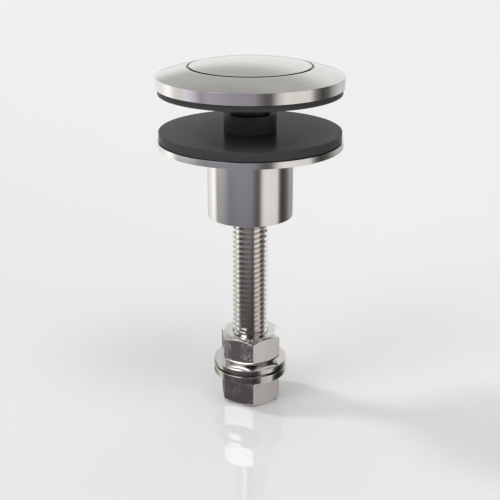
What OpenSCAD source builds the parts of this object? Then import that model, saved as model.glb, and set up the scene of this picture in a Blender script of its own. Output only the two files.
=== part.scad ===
/*
   Glass panel standoff (point fixing).
   A domed clamp head and a rear flange grip a drilled glass panel between two gaskets.
   A threaded stud joins the flange to a support, which two nuts and washers clamp.
   Millimetres, +Z up, origin on the axis at the underside of the lower nut.
*/

/* [Clamp head] */
// Diameter of the clamp disc
disc_d = 60; // [50:1:80]
// Height of the disc's cylindrical edge
disc_edge_h = 3.6; // [3:0.1:6]
// Rise of the dome above that edge, at the centre
dome_h = 5; // [3.5:0.1:8]
// Rounding of the disc's edges
disc_edge_r = 0.4; // [0.1:0.1:1]
// Thickness of the disc under the cover cap
disc_web = 4.4; // [4:0.1:5.5]
// Diameter of the recess for the cover cap
recess_d = 39.9; // [32:0.1:44]
// Width of the visible ring groove round the cover cap
cap_groove_w = 0.6; // [0.3:0.1:1]
// Depth of that groove
cap_groove_h = 1.4; // [0.5:0.1:1.5]
// Radial clearance of the cover cap in its recess
cap_fit = 0.05; // [0.02:0.01:0.2]

/* [Clamp screw] */
// Thread diameter of the countersunk clamp screw
screw_d = 8; // [6:0.5:9]
// Length of the clamp screw inside the hub, with the head drawn out
screw_engage = 8.6; // [7:0.1:9]
// Diameter of the countersunk head
screw_head_d = 15.8; // [14:0.1:18]
// Depth of the cylindrical rim of the countersunk head
screw_rim_h = 0.3; // [0.2:0.1:0.5]
// Width across the flats of the hexagon socket
socket_af = 5; // [4:0.5:6]
// Depth of the hexagon socket
socket_h = 2.6; // [2:0.1:3.4]

/* [Gaskets and glass] */
// Thickness of the glass panel between the gaskets
glass_gap = 12; // [8:0.5:25]
// Diameter of both gaskets
gasket_d = 59; // [46:1:76]
// Thickness of the front gasket
front_gasket_t = 2; // [1.5:0.5:4]
// Thickness of the rear gasket
rear_gasket_t = 3; // [2:0.5:4]
// Rounding of the gaskets' outer edges
gasket_edge_r = 0.25; // [0.1:0.05:0.5]

/* [Bushes] */
// Outer diameter of the bush that fills the hole in the glass
sleeve_d = 17; // [16:0.5:20]
// Height of that bush above the rear gasket
sleeve_rise = 5.7; // [5:0.1:7]
// Outer diameter of the inner bush that slides into it
inner_bush_d = 12.9; // [12:0.1:14]
// Length of the inner bush inside the sleeve
bush_overlap = 2.4; // [2:0.1:3]
// Depth of the relief pockets in the sleeve's top
pocket_h = 1.8; // [1:0.1:3]
// Wall left outside the relief pockets
pocket_wall = 0.6; // [0.5:0.1:1]
// Angle that each relief pocket spans
pocket_angle = 37; // [20:1:50]
// Width of the rib between two neighbouring pockets
pocket_rib = 1.6; // [1:0.1:3]

/* [Rear flange] */
// Diameter of the flange plate
plate_d = 60; // [50:1:80]
// Thickness of the flange plate
plate_t = 2; // [1.5:0.5:4]
// Diameter of the hub
hub_d = 28; // [22:1:36]
// Length of the hub below the plate
hub_len = 23.5; // [22.5:0.5:40]
// Rounding of the hub's lower edge
hub_edge_r = 0.6; // [0.2:0.1:1.5]
// Rounding of the plate's edges
plate_edge_r = 0.3; // [0.1:0.1:0.6]

/* [Stud, nuts and washers] */
// Thread diameter of the stud
stud_d = 12; // [10:1:14]
// Length of stud screwed into the hub
stud_engage = 9; // [7:0.5:10]
// Free length of stud between the hub and the upper nut
stud_free = 42; // [20:0.5:80]
// Chamfer on the ends of the stud
stud_chamfer = 0.9; // [0.5:0.1:1.5]
// Width across the flats of the nuts
nut_af = 19; // [18:0.5:22]
// Height of the nuts
nut_h = 10; // [8:0.5:12]
// Diameter of the nuts' flat bearing faces, inside the corner chamfers
nut_face_d = 17.4; // [16:0.1:17.8]
// Angle of the corner chamfers
nut_chamfer_angle = 30; // [15:1:30]
// Depth of the countersink at each end of a nut's thread
nut_mouth = 0.3; // [0.2:0.1:1]
// Turn of the nuts about the stud
nut_turn = 35.4; // [0:0.1:60]
// Outer diameter of the washers
washer_d = 25; // [22:0.5:37]
// Thickness of the washers
washer_t = 2.5; // [2:0.5:3]
// Radial clearance of the washers' hole round the stud
washer_fit = 0.5; // [0.3:0.1:1]
// Rounding of the washers' outer edges
washer_edge_r = 0.7; // [0.1:0.1:0.9]

/* [Hidden] */
$fn = 96;

// Clearances
thread_fit = 0.05;      // radial, between a thread and its nut or tapped hole
bush_fit = 0.1;         // radial, where bushes slide or seat in holes
screw_gap = 0.3;        // radial, between the clamp screw and the inner bush
cone_fit = 0.12;        // radial, round the countersunk head in its seat
end_fit = 0.3;          // left at the end of the head's travel
cut = 1;                // overrun of every cut past the faces it opens

// Radii
disc_r = disc_d / 2;
recess_r = recess_d / 2;
plate_r = plate_d / 2;
hub_r = hub_d / 2;
stud_r = stud_d / 2;
screw_r = screw_d / 2;
sleeve_r = sleeve_d / 2;
inner_bush_r = inner_bush_d / 2;
washer_r = washer_d / 2;

// Levels, from the lower nut's underside upwards
lower_washer_z = nut_h;
upper_washer_z = lower_washer_z + washer_t;
upper_nut_z = upper_washer_z + washer_t;
hub_z = upper_nut_z + nut_h + stud_free;
plate_z = hub_z + hub_len;
rear_gasket_z = plate_z + plate_t;
glass_z = rear_gasket_z + rear_gasket_t;
front_gasket_z = glass_z + glass_gap;
disc_z = front_gasket_z + front_gasket_t;
sleeve_top_z = glass_z + sleeve_rise;

// Dome of the head: one sphere through its rim and its apex
dome_r = (disc_r * disc_r + dome_h * dome_h) / (2 * dome_h);
dome_centre_z = disc_z + disc_edge_h + dome_h - dome_r;

// Bushes
inner_bush_z = sleeve_top_z - bush_overlap;
sleeve_bore_r = inner_bush_r + bush_fit;
pocket_r = sleeve_r - pocket_wall;

// The head screws in until its gasket nears the sleeve or its bush nears the flange
close_travel = min(glass_gap - sleeve_rise, inner_bush_z - rear_gasket_z) - end_fit;

// Clamp screw, flush with the floor of the cap's recess
screw_top_z = disc_z + disc_web;
screw_end_z = rear_gasket_z - screw_engage;
screw_cone_h = screw_head_d / 2 - screw_r;
screw_tip = screw_d / 8;
screw_hole_end_z = screw_end_z - close_travel - end_fit;
screw_hole_r = screw_r + thread_fit;

// Half-profile of a disc or boss from r_in to r_out, with rounded outer edges
module ring_profile(r_in, r_out, h, r_low, r_high) {
    difference() {
        translate([r_in, 0])
            square([r_out - r_in, h]);
        if (r_low > 0)
            corner_waste([r_out - r_low, r_low], r_low, [0, -1]);
        if (r_high > 0)
            corner_waste([r_out - r_high, h - r_high], r_high, [0, 1]);
    }
}

// What an edge rounding takes off: centre and radius of its arc, and the unit
// normal of the face that it joins to the outer wall
module corner_waste(centre, r, normal) {
    reach = 2 * r;
    difference() {
        polygon([centre, centre + [reach, 0], centre + [reach, reach * normal[1]],
            centre + reach * normal]);
        translate(centre)
            circle(r, $fn = 48);
    }
}

// A turned ring at height z
module ring(z, r_in, r_out, h, r_low = 0, r_high = 0) {
    translate([0, 0, z])
        rotate_extrude()
            ring_profile(r_in, r_out, h, r_low, r_high);
}

// Half-profile of what lies under the dome, out to radius r and from height z up
module under_dome(z, r) {
    intersection() {
        translate([0, z])
            square([r, dome_h + disc_edge_h + disc_z - z + cut]);
        translate([0, dome_centre_z])
            circle(dome_r, $fn = 720);
    }
}

// Height of the dome's surface at radius r
function dome_z(r) = dome_centre_z + sqrt(dome_r * dome_r - r * r);

module cover_cap() {
    top_r = recess_r - cap_groove_w;
    color("silver")
    rotate_extrude() {
        under_dome(screw_top_z, top_r);
        translate([0, screw_top_z])
            square([recess_r - cap_fit, dome_z(top_r) - cap_groove_h - screw_top_z]);
    }
}

module clamp_disc() {
    // Arc that rounds the rim between the dome and the cylindrical edge
    rim_x = disc_r - disc_edge_r;
    rim_reach = dome_r - disc_edge_r;
    rim_z = dome_centre_z + sqrt(rim_reach * rim_reach - rim_x * rim_x);
    color("silver")
    difference() {
        rotate_extrude()
            difference() {
                under_dome(disc_z, disc_r);
                corner_waste([rim_x, rim_z], disc_edge_r,
                    [rim_x, rim_z - dome_centre_z] / rim_reach);
                corner_waste([rim_x, disc_z + disc_edge_r], disc_edge_r, [0, -1]);
            }
        // Recess for the cover cap
        translate([0, 0, screw_top_z])
            cylinder(r = recess_r, h = dome_h + disc_edge_h);
        // Countersunk seat of the clamp screw
        screw_shape(cone_fit, disc_web + cut);
    }
}

// The clamp screw's outline, grown by fit; shank is the length drawn below the head's top
module screw_shape(fit, shank) {
    rim_z = screw_top_z - screw_rim_h;
    head_r = screw_head_d / 2 + fit;
    translate([0, 0, screw_top_z - shank])
        cylinder(r = screw_r + fit, h = shank);
    translate([0, 0, rim_z - screw_cone_h])
        cylinder(r1 = screw_r + fit, r2 = head_r, h = screw_cone_h);
    translate([0, 0, rim_z])
        cylinder(r = head_r, h = screw_rim_h + (fit > 0 ? cut : 0));
}

module clamp_screw() {
    color("gray")
    difference() {
        screw_shape(0, screw_top_z - screw_end_z - screw_tip);
        // Hexagon socket
        translate([0, 0, screw_top_z - socket_h])
            cylinder(d = socket_af / cos(30), h = socket_h + cut, $fn = 6);
    }
    // Chamfered tip
    color("gray")
    translate([0, 0, screw_end_z])
        cylinder(r1 = screw_r - screw_tip, r2 = screw_r, h = screw_tip);
}

module front_gasket() {
    color("#2e2e31")
    ring(front_gasket_z, sleeve_bore_r, gasket_d / 2, front_gasket_t,
        gasket_edge_r, gasket_edge_r);
}

module inner_bush() {
    color("#1c1c1d")
    ring(inner_bush_z, screw_r + screw_gap, inner_bush_r, disc_z - inner_bush_z);
}

module spacer_sleeve() {
    color("#1f1f20")
    difference() {
        ring(rear_gasket_z, sleeve_bore_r, sleeve_r, sleeve_top_z - rear_gasket_z);
        // Pockets in two pairs, at the front and the back
        for (pair = [-90, 90], side = [-1, 1])
            rotate(pair + side * (pocket_angle + rib_angle()) / 2)
                relief_pocket();
    }
}

// Angle that a rib fills at the middle of the pockets
function rib_angle() = 2 * asin(pocket_rib / (sleeve_bore_r + pocket_r));

// One pocket, centred on +X and open to the bore
module relief_pocket() {
    translate([0, 0, sleeve_top_z - pocket_h])
        rotate(-pocket_angle / 2)
            rotate_extrude(angle = pocket_angle)
                translate([sleeve_bore_r - cut, 0])
                    square([pocket_r - sleeve_bore_r + cut, pocket_h + cut]);
}

module rear_gasket() {
    color("#2e2e31")
    ring(rear_gasket_z, sleeve_r + bush_fit, gasket_d / 2, rear_gasket_t,
        gasket_edge_r, gasket_edge_r);
}

module rear_flange() {
    color("silver")
    difference() {
        union() {
            ring(plate_z, 0, plate_r, plate_t, plate_edge_r, plate_edge_r);
            ring(hub_z, 0, hub_r, hub_len + plate_t / 2, hub_edge_r, 0);
        }
        // Tapped hole for the clamp screw
        translate([0, 0, screw_hole_end_z])
            cylinder(r = screw_hole_r, h = rear_gasket_z - screw_hole_end_z + cut);
        // Tapped hole for the stud
        translate([0, 0, hub_z - cut])
            cylinder(r = stud_r + thread_fit, h = stud_engage + cut);
    }
}

module threaded_stud() {
    stud_top_z = hub_z + stud_engage;
    tip_r = stud_r - stud_chamfer;
    color("silver")
    union() {
        cylinder(r1 = tip_r, r2 = stud_r, h = stud_chamfer);
        translate([0, 0, stud_chamfer])
            cylinder(r = stud_r, h = stud_top_z - 2 * stud_chamfer);
        translate([0, 0, stud_top_z - stud_chamfer])
            cylinder(r1 = stud_r, r2 = tip_r, h = stud_chamfer);
    }
}

// A hexagon nut with both ends chamfered and both thread mouths countersunk
module hex_nut(z) {
    corner_r = nut_af / 2 / cos(30);
    face_r = nut_face_d / 2;
    bore_r = stud_r + thread_fit;
    // The chamfer cones run out past the corners of the hexagon
    cone_r = corner_r + cut;
    cone_h = (cone_r - face_r) * tan(nut_chamfer_angle);
    translate([0, 0, z])
        difference() {
            intersection() {
                rotate(nut_turn)
                    cylinder(r = corner_r, h = nut_h, $fn = 6);
                rotate_extrude()
                    polygon([[0, 0], [face_r, 0], [cone_r, cone_h],
                        [cone_r, nut_h - cone_h], [face_r, nut_h], [0, nut_h]]);
            }
            translate([0, 0, -cut])
                cylinder(r = bore_r, h = nut_h + 2 * cut);
            cylinder(r1 = bore_r + nut_mouth, r2 = bore_r, h = nut_mouth);
            translate([0, 0, nut_h - nut_mouth])
                cylinder(r1 = bore_r, r2 = bore_r + nut_mouth, h = nut_mouth);
        }
}

module flat_washer(z) {
    ring(z, stud_r + washer_fit, washer_r, washer_t, washer_edge_r, washer_edge_r);
}

module upper_nut() {
    color("silver")
    hex_nut(upper_nut_z);
}

module upper_washer() {
    color("silver")
    flat_washer(upper_washer_z);
}

module lower_washer() {
    color("silver")
    flat_washer(lower_washer_z);
}

module lower_nut() {
    color("silver")
    hex_nut(0);
}

cover_cap();
clamp_disc();
clamp_screw();
front_gasket();
inner_bush();
spacer_sleeve();
rear_gasket();
rear_flange();
threaded_stud();
upper_nut();
upper_washer();
lower_washer();
lower_nut();
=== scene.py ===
import math

import bpy
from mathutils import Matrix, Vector


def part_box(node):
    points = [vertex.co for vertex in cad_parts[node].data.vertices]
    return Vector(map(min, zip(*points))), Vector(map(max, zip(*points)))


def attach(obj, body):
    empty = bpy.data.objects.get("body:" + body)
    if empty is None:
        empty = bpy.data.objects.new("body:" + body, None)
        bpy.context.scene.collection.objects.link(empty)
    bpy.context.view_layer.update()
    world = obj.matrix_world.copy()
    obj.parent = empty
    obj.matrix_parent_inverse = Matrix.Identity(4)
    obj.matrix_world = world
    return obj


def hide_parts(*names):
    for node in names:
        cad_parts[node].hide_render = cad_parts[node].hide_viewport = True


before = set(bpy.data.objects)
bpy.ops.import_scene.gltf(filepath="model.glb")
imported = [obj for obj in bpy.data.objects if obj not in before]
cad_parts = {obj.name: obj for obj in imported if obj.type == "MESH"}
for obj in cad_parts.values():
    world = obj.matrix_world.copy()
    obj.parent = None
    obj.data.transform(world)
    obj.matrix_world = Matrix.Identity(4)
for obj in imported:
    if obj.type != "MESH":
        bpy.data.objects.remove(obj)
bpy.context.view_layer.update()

# A glass panel standoff on a pale studio floor.
# Metres, +Z up, -Y is the front. Every place comes from the CAD frame.

mm = 0.001
mergeGap = 0.001 * mm
scene = bpy.context.scene
scene.view_settings.view_transform = "Standard"


# Colours and nodes

def colour(hexCode):
    # An sRGB hex colour, made linear
    linear = []
    for at in (1, 3, 5):
        level = int(hexCode[at:at + 2], 16) / 255
        linear.append(level / 12.92 if level <= 0.04045 else ((level + 0.055) / 1.055) ** 2.4)
    return (*linear, 1.0)


def plug(tree, node, inputs):
    # Links the sockets among the values and sets the others
    for name, value in inputs.items():
        if isinstance(value, bpy.types.NodeSocket):
            tree.links.new(value, node.inputs[name])
        else:
            node.inputs[name].default_value = value


def addNode(tree, kind, inputs=None, stops=None, **settings):
    # Adds a node with its settings and links. Stops are a ramp's colours by their place.
    node = tree.nodes.new(kind)
    for name, value in settings.items():
        setattr(node, name, value)
    plug(tree, node, inputs or {})
    if stops:
        elements = node.color_ramp.elements
        while len(elements) < len(stops):
            elements.new(1.0)
        for element, position in zip(elements, sorted(stops)):
            element.position = position
            element.color = colour(stops[position])
    return node


def newMaterial(name):
    # A fresh material with its tree, its shader and its Object coordinates
    material = bpy.data.materials.new(name)
    material.use_nodes = True
    tree = material.node_tree
    coords = addNode(tree, "ShaderNodeTexCoord").outputs["Object"]
    return material, tree, tree.nodes["Principled BSDF"], coords


def varySurface(tree, shader, pattern, look):
    # The pattern moves the colour and the roughness from their first value to their second
    low, high = 0.3, 0.7
    tone = addNode(tree, "ShaderNodeValToRGB", {"Fac": pattern},
                   stops={low: look["colours"][0], high: look["colours"][1]})
    rough = addNode(tree, "ShaderNodeMapRange",
                    {"Value": pattern, "From Min": low, "From Max": high,
                     "To Min": look["roughness"][0], "To Max": look["roughness"][1]},
                    interpolation_type="SMOOTHSTEP")
    plug(tree, shader, {"Base Color": tone.outputs[0], "Roughness": rough.outputs[0]})


# Materials: sizes in millimetres

# Satin stainless from the lathe: pale and warm, with very fine rings round the axis.
# The rings are wider than real ones, so that they show.
turnedLook = {"ring": 0.25, "bump": 0.005, "strength": 0.05, "colours": ("#cbc8c5", "#d1cecb"),
              "roughness": (0.09, 0.13)}


def turnedSteel(look):
    material, tree, shader, coords = newMaterial("satin turned stainless steel")
    place = addNode(tree, "ShaderNodeSeparateXYZ", {"Vector": coords}).outputs
    squares = []
    for side in ("X", "Y"):
        square = addNode(tree, "ShaderNodeMath", {0: place[side], 1: place[side]}, operation="MULTIPLY")
        squares.append(square.outputs[0])
    total = addNode(tree, "ShaderNodeMath", {0: squares[0], 1: squares[1]}, operation="ADD")
    radius = addNode(tree, "ShaderNodeMath", {0: total.outputs[0]}, operation="SQRT")
    across = addNode(tree, "ShaderNodeCombineXYZ", {"X": radius.outputs[0], "Y": place["Z"]})
    rings = addNode(tree, "ShaderNodeTexNoise",
                    {"Vector": across.outputs[0], "Scale": 1 / (look["ring"] * mm), "Detail": 2.0})
    height = addNode(tree, "ShaderNodeBump",
                     {"Height": rings.outputs["Fac"], "Strength": look["strength"],
                      "Distance": look["bump"] * mm})
    plug(tree, shader, {"Metallic": 1.0, "Normal": height.outputs[0]})
    varySurface(tree, shader, rings.outputs["Fac"], look)
    return material


# Bright stainless fasteners: shinier than the turned parts, pitted in patches on the front
# and the left. The pits are wider than real ones, so that they show. toFront and toLeft say
# how fast the patches grow that way, for each metre from the axis.
rolledLook = {"pit": 0.5, "patch": 5.88, "bump": 0.1, "toFront": 30, "toLeft": 15,
              "pitEdge": (0.52, 0.66), "patchEdge": (0.7, 0.9), "roughness": (0.09, 0.14)}


def rolledSteel(name, colours, pitting, look):
    material, tree, shader, coords = newMaterial(name)
    place = addNode(tree, "ShaderNodeSeparateXYZ", {"Vector": coords}).outputs
    pits = addNode(tree, "ShaderNodeTexNoise",
                   {"Vector": coords, "Scale": 1 / (look["pit"] * mm), "Detail": 2.0}).outputs["Fac"]
    patches = addNode(tree, "ShaderNodeTexNoise",
                      {"Vector": coords, "Scale": 1 / (look["patch"] * mm), "Detail": 1.0}).outputs["Fac"]
    for side, share in (("Y", -look["toFront"]), ("X", -look["toLeft"])):
        patches = addNode(tree, "ShaderNodeMath", {0: place[side], 1: share, 2: patches},
                          operation="MULTIPLY_ADD").outputs[0]
    relief = []
    for pattern, (start, end), deepest in ((pits, look["pitEdge"], 1.0),
                                           (patches, look["patchEdge"], pitting)):
        edge = addNode(tree, "ShaderNodeMapRange",
                       {"Value": pattern, "From Min": start, "From Max": end, "To Max": deepest},
                       interpolation_type="SMOOTHSTEP")
        relief.append(edge.outputs[0])
    depth = addNode(tree, "ShaderNodeMath", {0: relief[0], 1: relief[1]}, operation="MULTIPLY")
    height = addNode(tree, "ShaderNodeBump",
                     {"Height": depth.outputs[0], "Strength": 1.0, "Distance": look["bump"] * mm})
    plug(tree, shader, {"Metallic": 1.0, "Normal": height.outputs[0]})
    varySurface(tree, shader, pits, dict(look, colours=colours))
    return material


# Charcoal rubber: smooth enough to mirror faintly when seen along its face
rubberLook = {"grain": 0.4, "bump": 0.01, "strength": 0.04, "specular": 0.015,
              "colours": ("#434345", "#464648"), "roughness": (0.22, 0.28)}


def gasketRubber(look):
    material, tree, shader, coords = newMaterial("charcoal gasket rubber")
    grain = addNode(tree, "ShaderNodeTexNoise",
                    {"Vector": coords, "Scale": 1 / (look["grain"] * mm), "Detail": 3.0})
    height = addNode(tree, "ShaderNodeBump",
                     {"Height": grain.outputs["Fac"], "Strength": look["strength"],
                      "Distance": look["bump"] * mm})
    plug(tree, shader, {"Specular IOR Level": look["specular"], "Normal": height.outputs[0]})
    varySurface(tree, shader, grain.outputs["Fac"], look)
    return material


# Moulded black nylon: darker than the rubber, with a dull sheen
nylonLook = {"grain": 0.667, "specular": 0.25, "roughness": (0.35, 0.45)}


def blackNylon(name, colours, look):
    material, tree, shader, coords = newMaterial(name)
    grain = addNode(tree, "ShaderNodeTexNoise",
                    {"Vector": coords, "Scale": 1 / (look["grain"] * mm), "Detail": 2.0})
    plug(tree, shader, {"Specular IOR Level": look["specular"]})
    varySurface(tree, shader, grain.outputs["Fac"], dict(look, colours=colours))
    return material


steelSatin = turnedSteel(turnedLook)
steelBright = rolledSteel("bright rolled stainless steel", ("#e0ddda", "#e8e5e2"), 0.05, rolledLook)
# The lower nut's copy is darker than the upper nut's: painted shade standing in for the shadowed floor
# that its faces mirror.
steelForgedShaded = rolledSteel("forged stainless steel", ("#cfcdcb", "#d6d4d2"), 0.15, rolledLook)
steelPitted = rolledSteel("pitted forged stainless steel", ("#e6e4e3", "#eeeceb"), 0.6, rolledLook)
rubber = gasketRubber(rubberLook)
sleeveNylon = blackNylon("black moulded nylon", ("#424244", "#464648"), nylonLook)
# The bush's copy of the nylon is darker: painted shade for the deep shade it sits in under the front
# gasket and the disc.
bushNylonShaded = blackNylon("black moulded nylon darkened as painted shade", ("#323234", "#363638"), nylonLook)

# The CAD's own pieces take their finish as they are
finishes = {
    steelSatin: ["cover_cap", "clamp_disc", "rear_flange"],
    steelBright: ["clamp_screw", "threaded_stud", "upper_nut", "upper_washer",
                  "lower_washer", "lower_nut"],
    rubber: ["front_gasket", "rear_gasket"],
    sleeveNylon: ["spacer_sleeve"],
    bushNylonShaded: ["inner_bush"],
}
for finish, nodes in finishes.items():
    for node in nodes:
        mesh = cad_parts[node].data
        mesh.materials.clear()
        mesh.materials.append(finish)
print("materials made")


# Modelling steps that the pieces share

def only(piece):
    # Makes piece the one selected and active object
    bpy.ops.object.select_all(action="DESELECT")
    piece.select_set(True)
    bpy.context.view_layer.objects.active = piece


def applyModifiers(piece):
    only(piece)
    for modifier in list(piece.modifiers):
        bpy.ops.object.modifier_apply(modifier=modifier.name)


def placeInMesh(piece):
    only(piece)
    bpy.ops.object.transform_apply(location=True, rotation=True, scale=True)


def cleanMesh(piece, name):
    # Names the piece, merges doubled vertices and turns its normals outward
    piece.name = name
    piece.data.name = name
    placeInMesh(piece)
    bpy.ops.object.mode_set(mode="EDIT")
    bpy.ops.mesh.select_all(action="SELECT")
    bpy.ops.mesh.remove_doubles(threshold=mergeGap)
    bpy.ops.mesh.normals_make_consistent(inside=False)
    bpy.ops.object.mode_set(mode="OBJECT")


def drawProfile(points):
    # An open outline in the XZ plane, drawn from its first point by extruding a vertex
    bpy.ops.object.select_all(action="DESELECT")
    bpy.ops.mesh.primitive_plane_add(size=mm, location=(points[0][0], 0, points[0][1]))
    outline = bpy.context.object
    placeInMesh(outline)
    bpy.ops.object.mode_set(mode="EDIT")
    bpy.ops.mesh.select_all(action="SELECT")
    bpy.ops.mesh.merge(type="CENTER")
    for (x, z), (nextX, nextZ) in zip(points, points[1:]):
        step = (nextX - x, 0, nextZ - z)
        bpy.ops.mesh.extrude_region_move(TRANSFORM_OT_translate={"value": step})
    bpy.ops.object.mode_set(mode="OBJECT")
    return outline


def turned(name, points, steps=128):
    # A closed turned solid: the outline runs from the axis to the axis, or round a ring
    solid = drawProfile(points)
    only(solid)
    bpy.ops.object.mode_set(mode="EDIT")
    bpy.ops.mesh.select_all(action="SELECT")
    bpy.ops.mesh.spin(steps=steps, angle=2 * math.pi, center=(0, 0, 0), axis=(0, 0, 1))
    bpy.ops.object.mode_set(mode="OBJECT")
    cleanMesh(solid, name)
    return solid


def cutBy(piece, tool, operation):
    # Keeps what piece and tool share, or takes tool away from piece
    step = piece.modifiers.new("cut", "BOOLEAN")
    step.object = tool
    step.operation = operation
    step.solver = "EXACT"
    applyModifiers(piece)
    bpy.data.objects.remove(tool)


def roundEdges(piece, width, segments, chosen):
    # Rounds the edges between the vertices that chosen picks by their place
    only(piece)
    bpy.ops.object.mode_set(mode="EDIT")
    bpy.ops.mesh.select_mode(type="VERT")
    bpy.ops.mesh.select_all(action="DESELECT")
    bpy.ops.object.mode_set(mode="OBJECT")
    for vertex in piece.data.vertices:
        vertex.select = chosen(vertex.co)
    bpy.ops.object.mode_set(mode="EDIT")
    bpy.ops.mesh.select_mode(type="EDGE")
    bpy.ops.mesh.bevel(offset=width, segments=segments, affect="EDGES")
    bpy.ops.mesh.select_mode(type="VERT")
    bpy.ops.object.mode_set(mode="OBJECT")


def smooth(piece, angle):
    only(piece)
    bpy.ops.object.shade_smooth_by_angle(angle=math.radians(angle))


def finishEdges(piece, width, bevelAngle=30, smoothAngle=30):
    # Breaks the sharp edges. The large faces keep their own normals, so only the edges curve.
    step = piece.modifiers.new("edges", "BEVEL")
    step.width = width
    step.segments = 3
    step.limit_method = "ANGLE"
    step.angle_limit = math.radians(bevelAngle)
    applyModifiers(piece)
    smooth(piece, smoothAngle)
    step = piece.modifiers.new("normals", "WEIGHTED_NORMAL")
    step.keep_sharp = True
    step.weight = 100
    applyModifiers(piece)


def dress(piece, material, body, node):
    piece.data.materials.clear()
    piece.data.materials.append(material)
    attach(piece, body)
    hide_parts(node)


# Stud with a rolled M12 thread: sizes in millimetres. Fit is the room inside the CAD's rod,
# and spare is what is left past each end for the chamfer to cut.

studRod = {"pitch": 1.75, "fit": 0.05, "depth": 1.07, "flat": 0.17, "phase": 0.44,
           "chamfer": 0.9, "steps": 72, "spareTurns": 1.5, "spare": 0.5}


def threadedRod(name, node, rod):
    # One pitch of the thread's outline, swept up the rod by the Screw modifier
    low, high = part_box(node)
    pitch = rod["pitch"] * mm
    crest = (high.x - low.x) / 2 - rod["fit"] * mm
    root = crest - rod["depth"] * mm
    flat = rod["flat"] * mm
    half = pitch / 2
    outline = [(root, 0), (root, flat), (crest, half - flat / 2), (crest, half + flat / 2),
               (root, pitch - flat), (root, pitch)]
    start = low.z - rod["spareTurns"] * pitch + rod["phase"] * mm
    piece = drawProfile([(x, z + start) for x, z in outline])
    sweep = piece.modifiers.new("thread", "SCREW")
    sweep.angle = 2 * math.pi
    sweep.screw_offset = pitch
    sweep.iterations = math.ceil((high.z - low.z) / pitch) + round(2 * rod["spareTurns"])
    sweep.steps = rod["steps"]
    sweep.render_steps = rod["steps"]
    sweep.use_merge_vertices = True
    sweep.merge_threshold = mergeGap
    applyModifiers(piece)
    spare = rod["spare"] * mm
    bpy.ops.object.mode_set(mode="EDIT")
    for level, side in ((low.z - spare, -1), (high.z + spare, 1)):
        bpy.ops.mesh.select_all(action="SELECT")
        bpy.ops.mesh.bisect(plane_co=(0, 0, level), plane_no=(0, 0, side),
                            clear_outer=True, use_fill=True)
    bpy.ops.object.mode_set(mode="OBJECT")
    cleanMesh(piece, name)
    # The ends are chamfered at 45 degrees, nearly down to the thread's root
    chamfer = rod["chamfer"] * mm
    tip = crest - chamfer
    clear = crest + mm
    rise = clear - tip
    ends = turned("ends", [(0, low.z), (tip, low.z), (clear, low.z + rise),
                           (clear, high.z - rise), (tip, high.z), (0, high.z)])
    cutBy(piece, ends, "INTERSECT")
    cleanMesh(piece, name)
    smooth(piece, 40)
    return piece


stud = threadedRod("stud_thread", "threaded_stud", studRod)
dress(stud, steelBright, "standoff", "threaded_stud")
print("stud made")


# Nuts: sizes in millimetres, chamfer and turn in degrees

nutShape = {"flats": 19, "face": 17.4, "seat": {"upper_nut": 16.8, "lower_nut": 17.4},
            "chamfer": 30, "turn": -54.6, "bore": 12.04, "mouth": 0.3, "edge": 0.15,
            "roll": {"upper_nut": 0.9, "lower_nut": 0.3}, "rollSegments": 6}


def hexNut(name, node, nut):
    # A hexagon prism inside two chamfer cones, bored, with every edge softly rounded
    low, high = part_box(node)
    corner = nut["flats"] / 2 / math.cos(math.radians(30)) * mm
    bpy.ops.object.select_all(action="DESELECT")
    bpy.ops.mesh.primitive_cylinder_add(vertices=6, radius=corner, depth=high.z - low.z,
                                        location=(0, 0, (low.z + high.z) / 2),
                                        rotation=(0, 0, math.radians(nut["turn"])))
    piece = bpy.context.object
    placeInMesh(piece)
    face = nut["face"] / 2 * mm
    seat = nut["seat"][node] / 2 * mm
    clear = corner + mm
    slope = math.tan(math.radians(nut["chamfer"]))
    rise = (clear - seat) * slope
    cones = turned("cones", [(0, low.z), (seat, low.z), (clear, low.z + rise),
                             (clear, high.z - (clear - face) * slope), (face, high.z), (0, high.z)])
    cutBy(piece, cones, "INTERSECT")
    # The bore's mouths open at 45 degrees
    bore = nut["bore"] / 2 * mm
    mouth = nut["mouth"] * mm
    wide = bore + 2 * mouth
    drill = turned("drill", [(0, low.z - mouth), (wide, low.z - mouth), (bore, low.z + mouth),
                             (bore, high.z - mouth), (wide, high.z + mouth), (0, high.z + mouth)])
    cutBy(piece, drill, "DIFFERENCE")
    cleanMesh(piece, name)
    # The sides roll over into the lower chamfer
    edge = nut["edge"] * mm
    inner = nut["flats"] / 2 * mm - edge
    roundEdges(piece, nut["roll"][node] * mm, nut["rollSegments"],
               lambda at: at.z < low.z + rise and math.hypot(at.x, at.y) > inner)
    finishEdges(piece, edge, bevelAngle=20, smoothAngle=25)
    return piece


# The lower nut's steel is the darker copy, painted shade for the shadowed floor it mirrors.
for node, finish in (("upper_nut", steelPitted), ("lower_nut", steelForgedShaded)):
    nutPiece = hexNut(node + "_dressed", node, nutShape)
    dress(nutPiece, finish, node, node)
print("nuts made")


# Washers: sizes in millimetres

washerShape = {"bore": 13, "ease": 0.85, "easeReach": 4, "lip": 0.25, "edge": 0.06,
               "steps": 160}


def washer(name, node, ring, eased):
    # A plain ring with a small lip round its upper rim, eased off below where the two meet
    low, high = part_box(node)
    rim = (high.x - low.x) / 2
    bore = ring["bore"] / 2 * mm
    outline = [(bore, low.z)]
    if eased:
        ease = ring["ease"] * mm
        easeFrom = rim - ring["easeReach"] * mm
        outline += [(easeFrom, low.z), (easeFrom, low.z + ease), (rim, low.z + ease)]
    else:
        outline += [(rim, low.z)]
    lip = ring["lip"] * mm
    bulge = 0.3 * lip  # Where the lip's two flats meet
    outline += [(rim, high.z - lip), (rim - bulge, high.z - bulge), (rim - lip, high.z),
                (bore, high.z), (bore, low.z)]
    piece = turned(name, outline, ring["steps"])
    finishEdges(piece, ring["edge"] * mm)
    return piece


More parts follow.
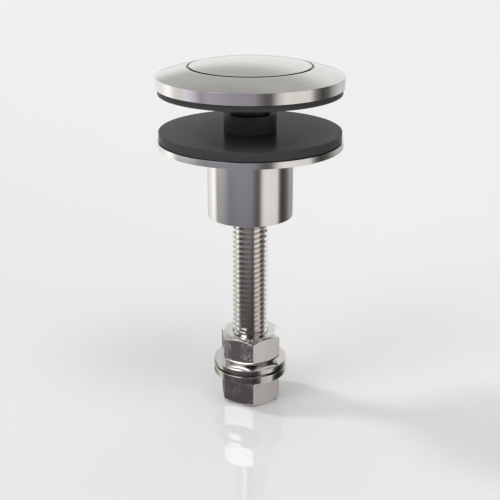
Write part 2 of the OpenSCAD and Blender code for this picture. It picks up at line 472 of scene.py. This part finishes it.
for node, body, eased in (("upper_washer", "upper_grip", True),
                          ("lower_washer", "lower_grip", False)):
    washerPiece = washer(node + "_dressed", node, washerShape, eased)
    dress(washerPiece, steelBright, body, node)
print("washers made")


# Clamp disc: sizes in millimetres

discShape = {"edgeHeight": 3.6, "recess": 40.2, "web": 4.4, "seat": 16.04, "seatRim": 0.3,
             "shank": 8.24, "domeSteps": 16, "edge": 0.04, "steps": 192}


def clampDisc(name, node, disc):
    # A shallow dome on a short cylindrical edge, with the cap's recess and the screw's seat
    low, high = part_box(node)
    rim = (high.x - low.x) / 2
    recess = disc["recess"] / 2 * mm
    edgeTop = low.z + disc["edgeHeight"] * mm
    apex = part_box("cover_cap")[1].z
    ball = (rim ** 2 + (apex - edgeTop) ** 2) / (2 * (apex - edgeTop))
    dome = []
    for step in range(disc["domeSteps"] + 1):
        radius = rim + (recess - rim) * step / disc["domeSteps"]
        dome.append((radius, apex - ball + math.sqrt(ball ** 2 - radius ** 2)))
    web = low.z + disc["web"] * mm
    seat = disc["seat"] / 2 * mm
    shank = disc["shank"] / 2 * mm
    rimTop = web - disc["seatRim"] * mm
    outline = [(shank, low.z), (rim, low.z)] + dome
    outline += [(recess, web), (seat, web), (seat, rimTop), (shank, rimTop - (seat - shank)),
                (shank, low.z)]
    piece = turned(name, outline, disc["steps"])
    finishEdges(piece, disc["edge"] * mm)
    return piece


discPiece = clampDisc("disc_turned", "clamp_disc", discShape)
dress(discPiece, steelSatin, "head", "clamp_disc")
print("disc made")


# Rear flange: sizes in millimetres

flangeShape = {"plate": 2, "hub": 28, "studHole": 12.1, "studDepth": 9, "screwHole": 8.1,
               "screwDepth": 14.9, "edge": 0.04, "steps": 192}


def rearFlange(name, node, flange):
    # A thin plate on a long hub, tapped from both ends
    low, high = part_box(node)
    plate = (high.x - low.x) / 2
    plateLow = high.z - flange["plate"] * mm
    hub = flange["hub"] / 2 * mm
    studHole = flange["studHole"] / 2 * mm
    screwHole = flange["screwHole"] / 2 * mm
    studEnd = low.z + flange["studDepth"] * mm
    screwEnd = high.z - flange["screwDepth"] * mm
    outline = [(0, screwEnd), (screwHole, screwEnd), (screwHole, high.z), (plate, high.z),
               (plate, plateLow), (hub, plateLow), (hub, low.z), (studHole, low.z),
               (studHole, studEnd), (0, studEnd)]
    piece = turned(name, outline, flange["steps"])
    finishEdges(piece, flange["edge"] * mm)
    return piece


flangePiece = rearFlange("flange_turned", "rear_flange", flangeShape)
dress(flangePiece, steelSatin, "standoff", "rear_flange")
print("flange made")


# Floor: sizes in metres. Matt, with a thin sheen that mirrors the steel faintly.

floorLook = {"size": 60, "cloud": 0.5, "metallic": 0.12, "roughness": 0.04,
             "colours": ("#e2e2e3", "#e3e3e4")}


def makeFloor(look):
    material, tree, shader, coords = newMaterial("pale studio floor")
    clouds = addNode(tree, "ShaderNodeTexNoise", {"Vector": coords, "Scale": 1 / look["cloud"]})
    tone = addNode(tree, "ShaderNodeValToRGB", {"Fac": clouds.outputs["Fac"]},
                   stops={0.3: look["colours"][0], 0.7: look["colours"][1]})
    plug(tree, shader, {"Metallic": look["metallic"], "Roughness": look["roughness"],
                        "Specular IOR Level": 0.0, "Base Color": tone.outputs[0]})
    bpy.ops.object.select_all(action="DESELECT")
    bpy.ops.mesh.primitive_plane_add(size=look["size"], location=(0, 0, 0))
    floor = bpy.context.object
    floor.name = "floor"
    placeInMesh(floor)
    floor.data.materials.append(material)
    floor.visible_glossy = False


makeFloor(floorLook)
print("floor made")


# Studio: angles in degrees. Round the horizon 0 is the front, -90 the left and 90 the right.
# The steel mirrors pale cards and dark gaps round the horizon, and a grey ceiling behind.
# Colours are as the steel shows them, and the strength makes up for the steel's own tone.

studio = {
    "backdrop": "#eeeeef",
    "steelTone": 0.62,
    # The cards on a band below the horizon, beside that band, and further off
    "band": -12,
    "beside": (0, 5),
    "outside": (5, 14),
    "bandCards": {-180: "#b4b4b4", -153: "#d5d6d8", -131: "#dfe1e0", -115: "#ffffff",
                  -103: "#dbd9d8", -92: "#cfcdca", -82: "#d8d8e8", -73: "#c8c5d2",
                  -60: "#918f96", -50: "#a6a3ad", -25: "#929098", 5: "#8c8991",
                  12: "#6d6a70", 18: "#575558", 25: "#545352", 33: "#b2aeac", 42: "#d7d3d0",
                  75: "#d0cecc", 84: "#757372", 95: "#3d3e3b", 107: "#595b57",
                  117: "#9b9c9b", 133: "#bcbfbf", 160: "#b3b4b5", 180: "#b4b4b4"},
    "besideCards": {-180: "#a0a0a0", -153: "#c4c5c6", -131: "#e0e2e2", -117: "#ffffff",
                    -108: "#eaeae5", -100: "#9a9997", -90: "#9e9e9e", -73: "#919298",
                    -55: "#767679", -25: "#80808a", -8: "#7f7f87", 5: "#7b7b81",
                    12: "#646369", 18: "#565455", 25: "#696665", 34: "#cfcecf",
                    42: "#dedcda", 77: "#d4d3d1", 85: "#72716d", 93: "#3a3a36",
                    107: "#4d4e49", 117: "#626460", 131: "#909192", 160: "#8b8b8b",
                    180: "#a0a0a0"},
    "outerCards": {-180: "#6c6c6c", -168: "#585857", -150: "#6b6968", -130: "#84817e",
                   -115: "#a6a4a0", -104: "#b9b7b2", -93: "#4c4a44", -80: "#383535",
                   -60: "#4d494a", -25: "#3d393b", 20: "#262220", 30: "#45413e",
                   38: "#9c9592", 71: "#aaa6a3", 78: "#565350", 88: "#232220",
                   98: "#20201e", 108: "#1e1f1c", 122: "#3c3f3c", 137: "#7c7e7e",
                   152: "#a2a4a6", 165: "#a2a4a4", 180: "#6c6c6c"},
    # The ceiling behind, by height. Its edge hangs lower on the right than on the left.
    "ceiling": {0: "#cbcccb", 15: "#cfd0cf", 18: "#c9cac9", 21: "#c0c1c0", 24: "#b4b5b4",
                27: "#acadac", 30: "#a6a7a6", 40: "#a6a7a6", 55: "#939492", 90: "#70706f"},
    "ceilingSlant": 10.8,
    "slantReach": 20,
    "ceilingSides": (110, 150),
    "ceilingEdge": (-8, 2),
    "overhead": (60, 75),
    # The ground, by height: darkest straight down
    "ground": {-90: "#5a5857", -76: "#5a5857", -71: "#b4b4b3", -50: "#b4b4b3"},
    "groundEdge": (-30, -62),
    # Soft boxes in front: from and to round the horizon, from and to in height, level
    "softBoxes": [(-73, -32, 18, 60, 1.7), (-5, 30, 50, 60, 0.95)],
    "softSides": 7,
    "softEnds": 5,
}


def makeWorld(look):
    world = bpy.data.worlds.new("studio")
    scene.world = world
    world.use_nodes = True
    tree = world.node_tree
    tree.nodes.clear()
    direction = addNode(tree, "ShaderNodeTexCoord").outputs["Generated"]
    place = addNode(tree, "ShaderNodeSeparateXYZ", {"Vector": direction}).outputs
    front = addNode(tree, "ShaderNodeMath", {0: place["Y"], 1: -1.0}, operation="MULTIPLY").outputs[0]
    angles = []
    for operation, first, second in (("ARCTAN2", place["X"], front),
                                     ("ARCTAN2", place["X"], place["Y"]),
                                     ("ARCSINE", place["Z"], 0.0)):
        angle = addNode(tree, "ShaderNodeMath", {0: first, 1: second}, operation=operation)
        angle = addNode(tree, "ShaderNodeMath", {0: angle.outputs[0]}, operation="DEGREES")
        angles.append(angle.outputs[0])
    around, fromBack, up = angles
    fromFront = addNode(tree, "ShaderNodeMath", {0: around}, operation="ABSOLUTE").outputs[0]
    away = addNode(tree, "ShaderNodeMath", {0: up, 1: look["band"]}, operation="SUBTRACT").outputs[0]
    away = addNode(tree, "ShaderNodeMath", {0: away}, operation="ABSOLUTE").outputs[0]
    slant = addNode(tree, "ShaderNodeMapRange",
                    {"Value": fromBack, "From Min": -look["slantReach"],
                     "From Max": look["slantReach"], "To Min": look["ceilingSlant"],
                     "To Max": -look["ceilingSlant"]}).outputs[0]
    height = addNode(tree, "ShaderNodeMath", {0: up, 1: slant}, operation="ADD").outputs[0]

    # Each set of colours, laid out along its angle
    ramps = []
    for value, start, end, stops in ((around, -180, 180, look["bandCards"]),
                                     (around, -180, 180, look["besideCards"]),
                                     (around, -180, 180, look["outerCards"]),
                                     (height, 0, 90, look["ceiling"]),
                                     (up, -90, 0, look["ground"])):
        along = addNode(tree, "ShaderNodeMapRange",
                        {"Value": value, "From Min": start, "From Max": end}).outputs[0]
        ramp = addNode(tree, "ShaderNodeValToRGB", {"Fac": along},
                       stops={(angle - start) / (end - start): stops[angle] for angle in stops})
        ramps.append(ramp.outputs[0])
    band, beside, outer, ceiling, ground = ramps

    # How much of each set shows in a direction
    blends = []
    for value, (start, end) in ((away, look["beside"]), (away, look["outside"]),
                                (fromFront, look["ceilingSides"]), (up, look["ceilingEdge"]),
                                (up, look["overhead"]), (up, look["groundEdge"])):
        blend = addNode(tree, "ShaderNodeMapRange",
                        {"Value": value, "From Min": start, "From Max": end},
                        interpolation_type="SMOOTHSTEP")
        blends.append(blend.outputs[0])
    toBeside, toOuter, behind, high, overhead, toGround = blends
    toCeiling = addNode(tree, "ShaderNodeMath", {0: behind, 1: high}, operation="MULTIPLY").outputs[0]
    toCeiling = addNode(tree, "ShaderNodeMath", {0: toCeiling, 1: overhead},
                        operation="MAXIMUM").outputs[0]
    layers = [(toBeside, beside), (toOuter, outer), (toCeiling, ceiling), (toGround, ground)]
    for fromTurn, toTurn, fromUp, toUp, level in look["softBoxes"]:
        inside = 1.0
        for value, edge, soft in ((around, fromTurn, look["softSides"]),
                                  (around, toTurn, -look["softSides"]),
                                  (up, fromUp, look["softEnds"]),
                                  (up, toUp, -look["softEnds"])):
            blend = addNode(tree, "ShaderNodeMapRange",
                            {"Value": value, "From Min": edge - soft, "From Max": edge + soft},
                            interpolation_type="SMOOTHSTEP")
            inside = addNode(tree, "ShaderNodeMath", {0: inside, 1: blend.outputs[0]},
                             operation="MULTIPLY").outputs[0]
        layers.append((inside, (level, level, level, 1.0)))
    mirrored = band
    for blend, layer in layers:
        mirrored = addNode(tree, "ShaderNodeMix", {0: blend, 6: mirrored, 7: layer},
                           data_type="RGBA").outputs[2]

    # The camera sees the plain backdrop, and the pieces are lit by and mirror the cards
    path = addNode(tree, "ShaderNodeLightPath")
    seen = addNode(tree, "ShaderNodeBackground", {"Color": colour(look["backdrop"]), "Strength": 1.0})
    studioLight = addNode(tree, "ShaderNodeBackground",
                          {"Color": mirrored, "Strength": 1 / look["steelTone"]})
    both = addNode(tree, "ShaderNodeMixShader",
                   {0: path.outputs["Is Camera Ray"], 1: studioLight.outputs[0],
                    2: seen.outputs[0]})
    addNode(tree, "ShaderNodeOutputWorld", {"Surface": both.outputs[0]})


makeWorld(studio)

# Suns: degrees round the horizon, degrees up, strength, degrees wide
suns = {
    "left key": (-107, 45, 0.85, 9),
    "right front fill": (46, 67, 0.5, 24),
    "low front fill": (0, 12, 0.42, 60),
    "overhead fill": (0, 88, 0.68, 120),
}


def makeSun(name, around, up, strength, width):
    data = bpy.data.lights.new(name, "SUN")
    data.energy = strength
    data.angle = math.radians(width)
    sun = bpy.data.objects.new(name, data)
    scene.collection.objects.link(sun)
    turn = math.radians(around)
    rise = math.radians(up)
    toSun = Vector((math.sin(turn) * math.cos(rise), -math.cos(turn) * math.cos(rise),
                    math.sin(rise)))
    sun.rotation_mode = "QUATERNION"
    sun.rotation_quaternion = toSun.to_track_quat("Z", "Y")
    sun.visible_glossy = False


for name, values in suns.items():
    makeSun(name, *values)
print("studio made")

# Camera in front of the axis, above the clamp disc, looking down on it: places and lens in
# millimetres, tilt in degrees
view = {"back": 314.19, "above": 61.6, "side": -0.08, "tilt": 69.577, "lens": 71.89,
        "sensor": 36}


def makeCamera(look):
    data = bpy.data.cameras.new("camera")
    data.lens = look["lens"]
    data.sensor_width = look["sensor"]
    data.clip_start = 10 * mm
    camera = bpy.data.objects.new("camera", data)
    scene.collection.objects.link(camera)
    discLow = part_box("clamp_disc")[0].z
    camera.location = (look["side"] * mm, -look["back"] * mm, discLow + look["above"] * mm)
    camera.rotation_euler = (math.radians(look["tilt"]), 0, 0)
    scene.camera = camera


makeCamera(view)
print("camera made")
